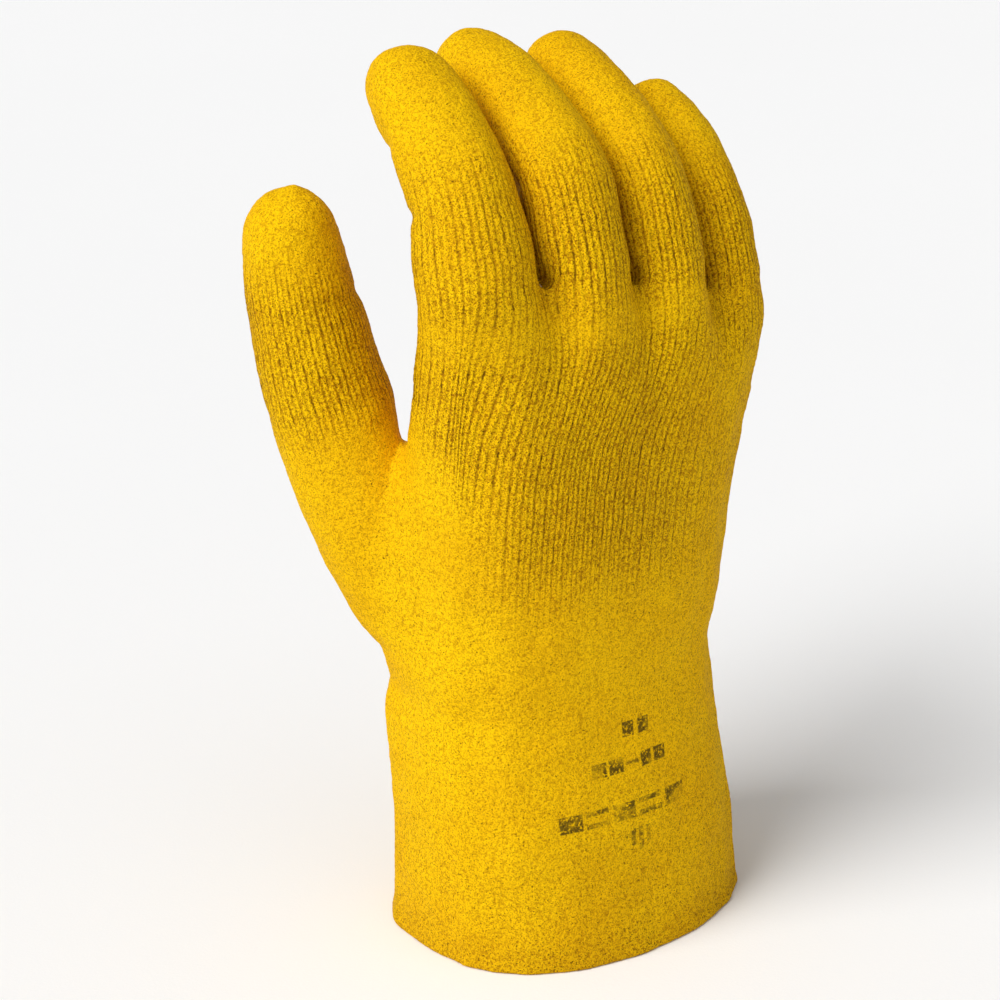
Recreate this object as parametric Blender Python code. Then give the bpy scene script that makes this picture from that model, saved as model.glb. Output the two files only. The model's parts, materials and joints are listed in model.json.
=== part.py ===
"""A right-hand coated work glove, standing upright on the hem of its gauntlet cuff.

Metres, +Z up. The origin is on the floor, under the middle of the whole glove. The back of the hand
faces -Y, the palm +Y and the thumb -X. The glove is two layers, an outer coated shell and a knitted
liner inside it. Each layer is divided where the glove bends: at the wrist, at three creases on each
finger and at two on the thumb. A shell's ends are cut back to a wedge, so that the crease can close.
The liner carries a ball end under each crease, which covers the inside while the shell opens.
"""

import math

import bpy
import numpy as np

# ------------------------------------------------------------------ driving dimensions
SHELL_THICKNESS = 0.0012
LINER_THICKNESS = 0.0010
LAYER_GAP = 0.0005
CREASE_GAP = 0.0008
# In a valley between fingers a surface that lies deeper in the wall also sinks, by this much more.
VALLEY_SINK = 1.4
LINER_HEM_SET_BACK = 0.0008
WEDGE_MARGIN = 1.5
# Where the middle of the hem stands. The thumb and the curl of the fingers set it off the origin.
HEM_CENTRE = (0.00713, -0.0102, 0.0)

# Heights, centres and half sizes of the cuff and hand, from the hem up to the finger roots.
TRUNK_STATIONS = np.array([
    # height, centre x, centre y, half width, half depth
    (0.000, 0.000, 0.000, 0.0535, 0.0408),
    (0.040, -0.001, 0.003, 0.0515, 0.0388),
    (0.075, -0.002, 0.007, 0.0500, 0.0370),
    (0.095, -0.001, 0.006, 0.0505, 0.0360),
    (0.143, 0.0025, 0.000, 0.0530, 0.0300),
    (0.180, 0.0065, -0.0045, 0.0568, 0.0248),
    (0.205, 0.007, -0.0080, 0.0562, 0.0208),
])
TRUNK_ROUNDNESS = 2.4

WRIST_HEIGHT = 0.075
WRIST_BENDS = (-25.0, 30.0)
CUFF_ROWS = (0.0, 0.020, 0.042)
CUFF_LINER_TOP = 0.0615
THUMB_ROWS = (0.0895, 0.104, 0.118, 0.133, 0.147)
# Share of the way from the thumb's web to the finger roots, and how far each row has taken
# the fingers' round shapes.
KNUCKLE_ROWS = ((0.35, 0.0), (0.66, 0.22), (0.87, 0.60), (1.0, 1.0))

FINGER_SIDES = 12
FINGER_LEAN = 2.5
ROOT_RISE = 0.009
WEB_DROP = (0.004, 0.002, 0.001)
KNUCKLE_BENDS = (-20.0, 35.0)
MIDDLE_BENDS = (-20.0, 30.0)
TIP_FOLLOWS = 0.6
# Each finger: its root crease, the lengths of its three segments, its radius at the root,
# middle and tip creases and at the tip, and how far it is bent at rest at each crease.
FINGERS = {
    "index_finger": ((-0.0358, -0.0065, 0.2020), (0.0215, 0.0220, 0.0145),
                     (0.0160, 0.0148, 0.0137, 0.0127), (23.0, 17.0, 12.0)),
    "middle_finger": ((-0.0060, -0.0125, 0.2005), (0.0275, 0.0275, 0.0175),
                      (0.0140, 0.0139, 0.0135, 0.0128), (20.0, 38.0, 14.0)),
    "ring_finger": ((0.0220, -0.0120, 0.1955), (0.0260, 0.0275, 0.0175),
                    (0.0134, 0.0134, 0.0130, 0.0122), (20.0, 34.0, 12.0)),
    "little_finger": ((0.0480, -0.0075, 0.1870), (0.0180, 0.0190, 0.0150),
                      (0.0122, 0.0120, 0.0116, 0.0110), (20.0, 20.0, 14.0)),
}

THUMB_SIDES = 16
THUMB_PLANE = math.radians(37.5)
# The thumb's side view in the plane that it stands in: distance out from the hand's middle, and height.
THUMB_WEB_SIDE = ((0.0475, 0.1480), (0.0480, 0.1500), (0.0485, 0.1535), (0.0500, 0.1600))
THUMB_OUTER_SIDE = ((0.0605, 0.0915), (0.0695, 0.1080), (0.0775, 0.1280), (0.0845, 0.1505))
THUMB_HALF_DEPTHS = (0.0155, 0.0175, 0.0180, 0.0176)
THUMB_SHIFTS = (0.0065, 0.0045, 0.0020, 0.0005)
THUMB_BASE = (0.0713, 0.171)
THUMB_CREASE = (0.0748, 0.190)
THUMB_TIP = (0.0772, 0.2062)
THUMB_RADII = (0.0171, 0.0158, 0.0135)
THUMB_BASE_BENDS = (-15.0, 20.0)
THUMB_TIP_BENDS = (-15.0, 25.0)

BALL_REACH = 35.0
TIP_LATITUDES = (28.0, 55.0, 76.0)

# ------------------------------------------------------------------ materials
YELLOW_COATING = (0.84, 0.50, 0.010)
KNIT_YARN = (0.80, 0.72, 0.52)


def clear_scene():
    for thing in list(bpy.data.objects):
        bpy.data.objects.remove(thing)


def plain_material(name, colour, roughness):
    made = bpy.data.materials.new(name)
    made.use_nodes = True
    shader = made.node_tree.nodes["Principled BSDF"]
    shader.inputs["Base Color"].default_value = (*colour, 1.0)
    shader.inputs["Roughness"].default_value = roughness
    shader.inputs["Metallic"].default_value = 0.0
    return made


# ------------------------------------------------------------------ meshes
def ring_faces(lower, upper):
    """Quads between two rings of vertex numbers, facing out where the rings run anticlockwise from above."""
    count = len(lower)
    return [(lower[i], lower[(i + 1) % count], upper[(i + 1) % count], upper[i]) for i in range(count)]


def flipped(faces):
    """The faces turned round, each keeping its first corner, so that both sides split the same way."""
    return [(face[0], *reversed(face[1:])) for face in faces]


def add_node(name, points, faces, material, pivot):
    """A mesh object whose origin is its crease's hinge point. Points are measured from the hem's middle."""
    mesh = bpy.data.meshes.new(name)
    mesh.from_pydata([tuple(map(float, p)) for p in points - pivot], [], faces)
    mesh.materials.append(material)
    mesh.shade_smooth()
    mesh.set_sharp_from_angle(angle=math.radians(40.0))
    made = bpy.data.objects.new(name, mesh)
    made.location = np.add(pivot, HEM_CENTRE)
    bpy.context.scene.collection.objects.link(made)


def layer(outer, inner):
    """One closed wall between two surfaces with the same layout: (points, faces, open rims) each."""
    points, faces, rims = outer
    inner_points, _, _ = inner
    shift = len(points)
    wall = list(faces) + [tuple(i + shift for i in face) for face in flipped(faces)]
    for rim in rims:
        wall += flipped(ring_faces(rim, [i + shift for i in rim]))
    return np.vstack([points, inner_points]), wall


def stack(rings, closed_top=False):
    """A surface through rings of points, with its open rims. closed_top ends it in a single point."""
    count = len(rings[0])
    points = np.vstack(rings)
    numbers = [list(range(i * count, (i + 1) * count)) for i in range(len(rings))]
    if not closed_top:
        faces = [f for a, b in zip(numbers, numbers[1:]) for f in ring_faces(a, b)]
        return points, faces, [numbers[0], numbers[-1][::-1]]
    # the last ring has shrunk to its middle
    numbers.pop()
    pole = (len(rings) - 1) * count
    points = np.vstack([points[:pole], points[pole:].mean(axis=0)])
    faces = [f for a, b in zip(numbers, numbers[1:]) for f in ring_faces(a, b)]
    last = numbers[-1]
    faces += [(last[i], last[(i + 1) % count], pole) for i in range(count)]
    return points, faces, [numbers[0]]


# ------------------------------------------------------------------ frames along fingers and thumb
class Limb:
    """A straight stretch of a finger or thumb: its start, its direction and its crease's hinge line.

    Ring points run anticlockwise seen from the tip. first is the angle of the first one, measured
    from the right hand side round to the back."""

    def __init__(self, start, along, right, bend_side, sides, first):
        self.start = np.array(start, float)
        self.along = np.array(along, float)
        self.right = np.array(right, float)
        self.back = np.cross(self.right, self.along)
        self.bend_side = np.array(bend_side, float)
        self.angles = np.radians(first - np.arange(sides) * 360.0 / sides)

    def rim(self):
        return np.outer(np.cos(self.angles), self.right) + np.outer(np.sin(self.angles), self.back)

    def ring(self, rise, radius):
        return self.start + self.along * rise + radius * self.rim()

    def wedge(self, rise, radius, cuts, towards):
        """A ring at a crease, cut back on the side that closes and on the side that opens."""
        around = radius * self.rim()
        inward = around @ self.bend_side
        angle = np.where(inward > 0, math.radians(cuts[0]), math.radians(cuts[1]))
        back = CREASE_GAP / 2 + np.abs(inward) * np.tan(angle)
        lift = rise + towards * back
        return self.start + np.outer(lift, self.along) + around


def wedge_cuts(bends, rest_bend):
    """How far each side of a crease is cut back, in degrees, on the closing and the opening side."""
    closing = (bends[1] + WEDGE_MARGIN + rest_bend) / 2
    opening = (-bends[0] + WEDGE_MARGIN - rest_bend) / 2
    return closing, opening


def ball_radius(radius, sides):
    """The largest round liner that turns inside a faceted shell without touching it."""
    return (radius - SHELL_THICKNESS) * math.cos(math.pi / sides) - LAYER_GAP


def liner_stop(next_radius, sides):
    """How far before the next crease a liner ends, to clear the ball that turns there."""
    ball = ball_radius(next_radius, sides)
    return math.sqrt((ball + LAYER_GAP) ** 2 - (ball - LINER_THICKNESS) ** 2) + LAYER_GAP


def liner_rim(limb, rise, radius, stop, closing):
    """A liner's last ring before a crease, cut back further on the side that closes."""
    around = radius * limb.rim()
    back = np.maximum(stop, (around @ limb.bend_side) * math.tan(math.radians(closing)) + 2 * LAYER_GAP)
    return limb.start + np.outer(rise - back, limb.along) + around


def tip_rings(limb, rise, radius):
    """Rings that round off a tip, ending in a ring with no width."""
    made = [limb.ring(rise, radius)]
    for latitude in map(math.radians, TIP_LATITUDES):
        made.append(limb.ring(rise + radius * math.sin(latitude), radius * math.cos(latitude)))
    made.append(limb.ring(rise + radius, 0.0))
    return made


# ------------------------------------------------------------------ finger and thumb segments
def segment_shell(name, limb, length, radii, low_cuts, high_cuts, material):
    """A shell segment between two creases, or up to a rounded tip where high_cuts is None."""
    surfaces = []
    for inset in (0.0, SHELL_THICKNESS):
        rings = [limb.wedge(0.0, radii[0] - inset, low_cuts, 1)]
        if high_cuts is None:
            surfaces.append(stack(rings + tip_rings(limb, length, radii[1] - inset), closed_top=True))
        else:
            rings.append(limb.wedge(length, radii[1] - inset, high_cuts, -1))
            surfaces.append(stack(rings))
    add_node(name, *layer(*surfaces), material, limb.start)


def segment_liner(name, limb, length, radii, high_cuts, material):
    """A liner segment: a ball end at its crease, then a tube up to the next, or a rounded tip."""
    sides = len(limb.angles)
    surfaces = []
    for inset in (0.0, LINER_THICKNESS):
        low, high = (ball_radius(radius, sides) - inset for radius in radii)
        rings = []
        for latitude in (-BALL_REACH, -BALL_REACH / 2, 0.0):
            turn = math.radians(latitude)
            rings.append(limb.ring(low * math.sin(turn), low * math.cos(turn)))
        if high_cuts is None:
            surfaces.append(stack(rings + tip_rings(limb, length, high), closed_top=True))
        else:
            rings.append(liner_rim(limb, length, high, liner_stop(radii[1], sides), high_cuts[0]))
            surfaces.append(stack(rings))
    add_node(name, *layer(*surfaces), material, limb.start)


# ------------------------------------------------------------------ fingers
def finger_frame(angle):
    """The directions of a finger leaning from upright by angle, in degrees: along, right and palmward."""
    lean = math.radians(FINGER_LEAN)
    turn = math.radians(angle)
    up = np.array((math.sin(lean), 0.0, math.cos(lean)))
    palm = np.array((0.0, 1.0, 0.0))
    right = np.array((math.cos(lean), 0.0, -math.sin(lean)))
    return up * math.cos(turn) + palm * math.sin(turn), right, palm * math.cos(turn) - up * math.sin(turn)


def finger_limbs(finger):
    """The stub that the hand carries, then the three segments, each starting at its crease."""
    root, lengths, _, bends = FINGERS[finger]
    angles = np.concatenate([[bends[0] / 2], np.cumsum(bends)])
    start = np.array(root)
    along, right, palm = finger_frame(angles[0])
    limbs = [Limb(start - along * ROOT_RISE, along, right, palm, FINGER_SIDES, 150.0)]
    for angle, length in zip(angles[1:], lengths):
        along, right, palm = finger_frame(angle)
        limbs.append(Limb(start, along, right, palm, FINGER_SIDES, 150.0))
        start = start + along * length
    return limbs


def finger_cuts(finger):
    _, _, _, bends = FINGERS[finger]
    tip_bends = tuple(TIP_FOLLOWS * bend for bend in MIDDLE_BENDS)
    ranges = (KNUCKLE_BENDS, MIDDLE_BENDS, tip_bends)
    rests = (bends[0] / 2, bends[1], bends[2])
    return [wedge_cuts(limits, rest) for limits, rest in zip(ranges, rests)]


def build_finger(finger, shell_material, liner_material):
    _, lengths, radii, _ = FINGERS[finger]
    cuts = finger_cuts(finger) + [None]
    limbs = finger_limbs(finger)[1:]
    for i, part in enumerate(("base", "mid", "tip")):
        ends = radii[i:i + 2]
        name = f"{finger}_{part}"
        segment_shell(name + "_shell", limbs[i], lengths[i], ends, cuts[i], cuts[i + 1], shell_material)
        segment_liner(name + "_liner", limbs[i], lengths[i], ends, cuts[i + 1], liner_material)


# ------------------------------------------------------------------ thumb
THUMB_OUT = np.array((-math.cos(THUMB_PLANE), math.sin(THUMB_PLANE), 0.0))
THUMB_RIGHT = np.array((-math.sin(THUMB_PLANE), -math.cos(THUMB_PLANE), 0.0))
THUMB_FIRST = 225.0


def thumb_point(place):
    return THUMB_OUT * place[0] + np.array((0.0, 0.0, place[1]))


def thumb_hinge(along):
    """The thumb's hinge line and the side that it bends towards: diagonal to the plane it stands in."""
    web = np.cross(along, THUMB_RIGHT)
    hinge = -(THUMB_RIGHT + web) / math.sqrt(2.0)
    return hinge, np.cross(hinge, along)


def thumb_limb(start, end):
    start, end = thumb_point(start), thumb_point(end)
    along = (end - start) / np.linalg.norm(end - start)
    _, bend_side = thumb_hinge(along)
    limb = Limb(start, along, THUMB_RIGHT, bend_side, THUMB_SIDES, THUMB_FIRST)
    # the thumb's ring is counted from its right side towards the web
    limb.back = np.cross(along, THUMB_RIGHT)
    limb.angles = np.radians(THUMB_FIRST + np.arange(THUMB_SIDES) * 360.0 / THUMB_SIDES)
    return limb, np.linalg.norm(end - start)


def thumb_cuts():
    return wedge_cuts(THUMB_BASE_BENDS, 0.0), wedge_cuts(THUMB_TIP_BENDS, 0.0)


def build_thumb(shell_material, liner_material):
    base_cuts, tip_cuts = thumb_cuts()
    base, base_length = thumb_limb(THUMB_BASE, THUMB_CREASE)
    tip, tip_length = thumb_limb(THUMB_CREASE, THUMB_TIP)
    segment_shell("thumb_base_shell", base, base_length, THUMB_RADII[:2], base_cuts, tip_cuts, shell_material)
    segment_liner("thumb_base_liner", base, base_length, THUMB_RADII[:2], tip_cuts, liner_material)
    segment_shell("thumb_tip_shell", tip, tip_length, THUMB_RADII[1:], tip_cuts, None, shell_material)
    segment_liner("thumb_tip_liner", tip, tip_length, THUMB_RADII[1:], None, liner_material)


# ------------------------------------------------------------------ cuff and hand
DORSAL = 17
COLUMNS = 36
THUMB_COLUMNS = (31, 35)


def smooth_step(value):
    value = np.clip(value, 0.0, 1.0)
    return value * value * (3.0 - 2.0 * value)


def trunk_section(height):
    """Centre x and y, half width and half depth at a height, on smooth curves through the stations."""
    heights = TRUNK_STATIONS[:, 0]
    slopes = np.gradient(TRUNK_STATIONS[:, 1:], heights, axis=0)
    i = int(np.clip(np.searchsorted(heights, height) - 1, 0, len(heights) - 2))
    span = heights[i + 1] - heights[i]
    t = (height - heights[i]) / span
    a, b = TRUNK_STATIONS[i, 1:], TRUNK_STATIONS[i + 1, 1:]
    return (
        (2 * t**3 - 3 * t**2 + 1) * a
        + (t**3 - 2 * t**2 + t) * span * slopes[i]
        + (3 * t**2 - 2 * t**3) * b
        + (t**3 - t**2) * span * slopes[i + 1]
    )


def wrist_point():
    x, y, _, _ = trunk_section(WRIST_HEIGHT)
    return np.array((x, y, WRIST_HEIGHT))


def trunk_point(share, side, height, inset):
    """A point of the cuff or hand: share is its place across, from -1 to 1, and side is -1 on the back."""
    x, y, half_width, half_depth = trunk_section(height)
    depth = (1.0 - min(abs(share), 1.0) ** TRUNK_ROUNDNESS) ** (1.0 / TRUNK_ROUNDNESS)
    return np.array((x + share * (half_width - inset), y + side * depth * (half_depth - inset), height))


def finger_root_points(inset):
    """The top row of the hand: the fingers' root circles, with neighbours sharing their corners."""
    names = list(FINGERS)
    circles = []
    for finger in names:
        stub = finger_limbs(finger)[0]
        circles.append(stub.ring(0.0, FINGERS[finger][2][0] - inset))
    row = np.zeros((COLUMNS, 3))
    for i, circle in enumerate(circles):
        row[4 * i:4 * i + 5] = circle[:5]
        row[30 - 4 * i:35 - 4 * i] = circle[6:11]
    row[DORSAL] = circles[-1][5]
    row[-1] = circles[0][11]
    webs = []
    for i in range(len(names) - 1):
        left, right = circles[i], circles[i + 1]
        drops = [drop + inset * VALLEY_SINK for drop in WEB_DROP]
        row[4 * i + 4] = (left[4] + right[0]) / 2 - (0, 0, drops[0])
        webs.append((left[5] + right[11]) / 2 - (0, 0, drops[1]))
        row[30 - 4 * i] = (left[6] + right[10]) / 2 - (0, 0, drops[2])
    return row, webs


def column_shares(row):
    """Each column's place across the hand, from -1 to 1, as the finger roots set it."""
    x, _, half_width, _ = trunk_section(row[:, 2].mean())
    shares = np.clip((row[:, 0] - x) / half_width, -0.97, 0.97)
    shares[DORSAL], shares[-1] = 1.0, -1.0
    return shares


def column_side(column):
    return -1.0 if column <= DORSAL else 1.0


def wrist_rim(shares, inset, towards):
    """The wedge-cut ring at the wrist, on the cuff's side (-1) or the hand's side (1)."""
    closing, opening = (math.radians(cut) for cut in wedge_cuts(WRIST_BENDS, 0.0))
    _, middle, _, _ = trunk_section(WRIST_HEIGHT)
    row = []
    for column, share in enumerate(shares):
        height = WRIST_HEIGHT
        for _ in range(4):
            reach = trunk_point(share, column_side(column), height, inset)[1] - middle
            slope = math.tan(closing if reach > 0 else opening)
            height = WRIST_HEIGHT + towards * (CREASE_GAP / 2 + abs(reach) * slope)
        row.append(trunk_point(share, column_side(column), height, inset))
    return np.array(row)


def trunk_row(shares, height, inset):
    return np.array([trunk_point(s, column_side(k), height, inset) for k, s in enumerate(shares)])


def wrist_hood(shares, inset, swing):
    """The liner's ring under the wrist crease: both halves swung down about the wrist's hinge line."""
    _, middle, _, _ = trunk_section(WRIST_HEIGHT)
    row = trunk_row(shares, WRIST_HEIGHT, inset)
    reach = row[:, 1] - middle
    row[:, 1] = middle + reach * math.cos(math.radians(swing))
    row[:, 2] = WRIST_HEIGHT - np.abs(reach) * math.sin(math.radians(swing))
    return row


def build_cuff(shares, shell_material, liner_material):
    surfaces = []
    for inset in (0.0, SHELL_THICKNESS):
        rings = [trunk_row(shares, height, inset) for height in CUFF_ROWS]
        surfaces.append(stack(rings + [wrist_rim(shares, inset, -1)]))
    add_node("cuff_shell", *layer(*surfaces), shell_material, np.zeros(3))
    surfaces = []
    for depth in (0.0, LINER_THICKNESS):
        inset = SHELL_THICKNESS + LAYER_GAP + depth
        heights = (LINER_HEM_SET_BACK, *CUFF_ROWS[1:], CUFF_LINER_TOP)
        surfaces.append(stack([trunk_row(shares, height, inset) for height in heights]))
    add_node("cuff_liner", *layer(*surfaces), liner_material, np.zeros(3))


def thumb_fan(inset):
    """Rings that turn from the hand's side up into the thumb, as ellipses between web and outer side."""
    rings = []
    steps = np.radians(THUMB_FIRST + np.arange(THUMB_SIDES) * 360.0 / THUMB_SIDES)
    sides = zip(THUMB_WEB_SIDE, THUMB_OUTER_SIDE, THUMB_HALF_DEPTHS, THUMB_SHIFTS)
    for web, outer, half_depth, shift in sides:
        web, outer = thumb_point(web), thumb_point(outer)
        middle = (web + outer) / 2 + THUMB_RIGHT * shift
        towards_web = (web - outer) / 2
        reach = np.linalg.norm(towards_web)
        towards_web *= (reach - inset) / reach
        depth = THUMB_RIGHT * (half_depth - inset)
        rings.append(middle + np.outer(np.cos(steps), depth) + np.outer(np.sin(steps), towards_web))
    return rings


def hand_surface(shares, inset, bottom, is_shell):
    """The hand's whole surface as (points, faces, open rims), with stubs for the fingers and thumb."""
    points, faces, rims = [], [], []

    def add(row):
        first = sum(len(p) for p in points)
        points.append(np.array(row))
        return list(range(first, first + len(row)))

    top, webs = finger_root_points(inset)
    rows = [add(row) for row in bottom]
    web_height = THUMB_ROWS[-1] - inset * VALLEY_SINK
    rows += [add(trunk_row(shares, height, inset)) for height in (*THUMB_ROWS[:-1], web_height)]
    first_thumb_row = len(bottom)
    for share_up, roundness in KNUCKLE_ROWS[:-1]:
        row = []
        for column, share in enumerate(shares):
            height = THUMB_ROWS[-1] + share_up * (top[column, 2] - THUMB_ROWS[-1])
            plain = trunk_point(share, column_side(column), height, inset)
            under_finger = np.array((*top[column, :2], height))
            row.append(plain + roundness * (under_finger - plain))
        rows.append(add(row))
    rows.append(add(top))
    web_numbers = add(webs)
    low, high = THUMB_COLUMNS
    for r, (a, b) in enumerate(zip(rows, rows[1:])):
        beside_thumb = first_thumb_row <= r < first_thumb_row + len(THUMB_ROWS) - 1
        faces += [f for k, f in enumerate(ring_faces(a, b)) if not (beside_thumb and low <= k < high)]
    rims.append(rows[0])

    # fingers
    top_numbers = rows[-1]
    for i, finger in enumerate(FINGERS):
        right = web_numbers[i] if i < len(webs) else top_numbers[DORSAL]
        left = web_numbers[i - 1] if i else top_numbers[-1]
        palm = top_numbers[30 - 4 * i:35 - 4 * i]
        root = top_numbers[4 * i:4 * i + 5] + [right] + palm + [left]
        stub = finger_limbs(finger)[0]
        radius = FINGERS[finger][2][0] - inset
        if is_shell:
            end = stub.wedge(ROOT_RISE, radius, finger_cuts(finger)[0], -1)
        else:
            stop = liner_stop(FINGERS[finger][2][0], FINGER_SIDES)
            end = liner_rim(stub, ROOT_RISE, radius, stop, finger_cuts(finger)[0][0])
        end = add(end)
        faces += ring_faces(root, end)
        rims.append(end[::-1])

    # thumb
    block = rows[first_thumb_row:first_thumb_row + len(THUMB_ROWS)]
    ring = block[0][low:high + 1] + [row[high] for row in block[1:]]
    ring += block[-1][low:high][::-1] + [row[low] for row in block[-2:0:-1]]
    limb, _ = thumb_limb(THUMB_BASE, THUMB_CREASE)
    if is_shell:
        end = limb.wedge(0.0, THUMB_RADII[0] - inset, thumb_cuts()[0], -1)
    else:
        stop = liner_stop(THUMB_RADII[0], THUMB_SIDES)
        end = liner_rim(limb, 0.0, THUMB_RADII[0] - inset, stop, thumb_cuts()[0][0])
    for next_ring in thumb_fan(inset) + [end]:
        numbers = add(next_ring)
        faces += ring_faces(ring, numbers)
        ring = numbers
    rims.append(ring[::-1])
    return np.vstack(points), faces, rims


def build_hand(shares, shell_material, liner_material):
    surfaces = [
        hand_surface(shares, inset, [wrist_rim(shares, inset, 1)], True)
        for inset in (0.0, SHELL_THICKNESS)
    ]
    add_node("hand_shell", *layer(*surfaces), shell_material, wrist_point())
    surfaces = []
    for depth in (0.0, LINER_THICKNESS):
        inset = SHELL_THICKNESS + LAYER_GAP + depth
        hood = [wrist_hood(shares, inset, swing) for swing in (28.0, 14.0, 0.0)]
        surfaces.append(hand_surface(shares, inset, hood, False))
    add_node("hand_liner", *layer(*surfaces), liner_material, wrist_point())


def main():
    clear_scene()
    shell_material = plain_material("yellow_coating", YELLOW_COATING, 0.75)
    liner_material = plain_material("knit_liner", KNIT_YARN, 0.95)
    root_row, _ = finger_root_points(0.0)
    shares = column_shares(root_row)
    build_cuff(shares, shell_material, liner_material)
    build_hand(shares, shell_material, liner_material)
    for finger in FINGERS:
        build_finger(finger, shell_material, liner_material)
    build_thumb(shell_material, liner_material)


main()
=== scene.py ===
"""The glove's visual model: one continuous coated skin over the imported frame, split only where bodies meet."""
import json
import math

import bpy
import numpy as np
from mathutils import Matrix, Vector


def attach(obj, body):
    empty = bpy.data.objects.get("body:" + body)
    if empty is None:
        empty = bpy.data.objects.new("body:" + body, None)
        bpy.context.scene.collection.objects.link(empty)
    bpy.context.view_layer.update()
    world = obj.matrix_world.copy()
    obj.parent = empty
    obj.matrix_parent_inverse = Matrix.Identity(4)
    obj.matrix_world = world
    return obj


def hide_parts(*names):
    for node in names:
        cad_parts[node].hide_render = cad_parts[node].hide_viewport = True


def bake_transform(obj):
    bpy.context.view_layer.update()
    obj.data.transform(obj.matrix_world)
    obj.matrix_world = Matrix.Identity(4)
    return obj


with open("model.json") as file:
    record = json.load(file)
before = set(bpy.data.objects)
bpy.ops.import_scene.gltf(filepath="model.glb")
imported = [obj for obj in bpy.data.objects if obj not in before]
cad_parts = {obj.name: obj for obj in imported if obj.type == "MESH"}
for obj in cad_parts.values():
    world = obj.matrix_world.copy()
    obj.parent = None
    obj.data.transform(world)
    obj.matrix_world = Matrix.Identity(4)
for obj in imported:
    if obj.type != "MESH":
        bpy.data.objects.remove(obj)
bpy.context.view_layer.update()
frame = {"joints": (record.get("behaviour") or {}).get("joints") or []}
JOINTS = {joint["name"]: joint for joint in frame["joints"]}

# ---- the glove's dimensions, in metres
FINGERS = ("index_finger", "middle_finger", "ring_finger", "little_finger")
FINGER_JOINTS = ("knuckle_bend", "middle_bend", "tip_bend")
# height, centre x, centre y, half width, half depth
TRUNK = np.array([
    (0.000, -0.0004, 0.000, 0.0530, 0.0408),
    (0.040, -0.0016, 0.003, 0.0508, 0.0388),
    (0.075, -0.0022, 0.007, 0.0498, 0.0370),
    (0.095, -0.0010, 0.006, 0.0505, 0.0360),
    (0.143, 0.0025, 0.000, 0.0530, 0.0300),
    (0.180, 0.0065, -0.0045, 0.0568, 0.0248),
    (0.205, 0.0070, -0.0080, 0.0562, 0.0208),
])
# the power of the superellipse that each section of the trunk is
ROUNDNESS = 2.4
# how far below the knuckles' hinges the fingers' root row lies, and how far the webs sag: back, middle and palm
ROOT_RISE = 0.003
WEB_DROP = (0.0015, 0.0005, 0.0010)
# the fingers' lean to the little finger's side
LEAN = math.radians(2.5)


def by_finger(*values):
    return dict(zip(FINGERS, values))


# radii at the root, middle and tip creases and at the tip, and the three creases' bends at rest, in degrees
FINGER_RADII = by_finger(
    (0.0169, 0.0153, 0.0138, 0.0127),
    (0.0142, 0.0141, 0.0135, 0.0128),
    (0.0134, 0.0134, 0.0130, 0.0122),
    (0.0122, 0.0120, 0.0116, 0.0110),
)
FINGER_BENDS = by_finger((23.0, 17.0, 12.0), (20.0, 38.0, 14.0), (20.0, 34.0, 12.0), (20.0, 20.0, 14.0))
# how far to the little finger's side each finger bows, along its length
BOW_PLACES = (0.0, 0.22, 0.45, 0.7, 1.0)
FINGER_BOWS = by_finger(
    (-0.0011, -0.0004, 0.0012, 0.0010, 0.0),
    (0.0, -0.0003, -0.0006, -0.0003, 0.0),
    (0.0, 0.0, 0.0002, 0.0007, 0.0009),
    (0.0, 0.0, 0.0, 0.0, -0.0004),
)
# how much lower than the creases' plain arch each finger's end lies, and how far the tip's centre is past its crease
FINGER_DROPS = by_finger(0.0003, 0.0008, 0.0016, 0.0)
TIP_LENGTH = by_finger(0.0145, 0.0175, 0.0175, 0.015)

THUMB_PLANE = math.radians(37.5)
THUMB_OUT = np.array((-math.cos(THUMB_PLANE), math.sin(THUMB_PLANE), 0.0))
THUMB_SIDE = np.array((-math.sin(THUMB_PLANE), -math.cos(THUMB_PLANE), 0.0))
# the thumb's rings: web side (out, height), outer side (out, height), half depth, sideways shift
THUMB_RINGS = np.array([
    (0.0475, 0.1480, 0.0600, 0.0905, 0.0155, 0.0065),
    (0.0480, 0.1500, 0.0692, 0.1080, 0.0175, 0.0045),
    (0.0485, 0.1535, 0.0775, 0.1280, 0.0180, 0.0020),
    (0.0500, 0.1600, 0.0845, 0.1505, 0.0176, 0.0005),
    (0.0545, 0.1741, 0.0881, 0.1679, 0.0171, 0.0),
    (0.0592, 0.1918, 0.0904, 0.1882, 0.0158, 0.0),
    (0.0638, 0.2072, 0.0906, 0.2052, 0.0136, 0.0),
])
THUMB_TOP = (0.0772, 0.2062)
# the cage's rows and the first and last of its columns that the thumb grows from
THUMB_ROWS = (0.0895, 0.104, 0.118, 0.133, 0.147)
THUMB_BLOCK = (31, 35)
# how far up to the finger roots each row is, and how far it has taken on the fingers' round shapes
KNUCKLE_ROWS = ((0.18, 0.0), (0.36, 0.0), (0.53, 0.08), (0.69, 0.28), (0.83, 0.55), (0.93, 0.80))

# the cage's columns go round the hand from the index finger's side: 0 to DORSAL are on its back
COLUMNS = 36
DORSAL = 17
RIBS_PER_COLUMN = 3.75
SUBDIVISIONS = 4
AROUND = COLUMNS * RIBS_PER_COLUMN

# the cage's rows up the cuff, below the thumb's
CUFF_ROWS = (0.0, 0.014, 0.028, 0.042, 0.056, 0.067, 0.078)
# how close together a finger's rings are, and how far the first and the last stand from its ends
RING_STEP, FIRST_RING, LAST_RING = 0.0068, 0.0045, 0.001
# half the length over which a crease turns, and how much and how far along it draws the finger in
TURN_REACH = 0.0085
CREASE_PINCH, PINCH_REACH = (0.0, 0.015, 0.015), 0.006
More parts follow.
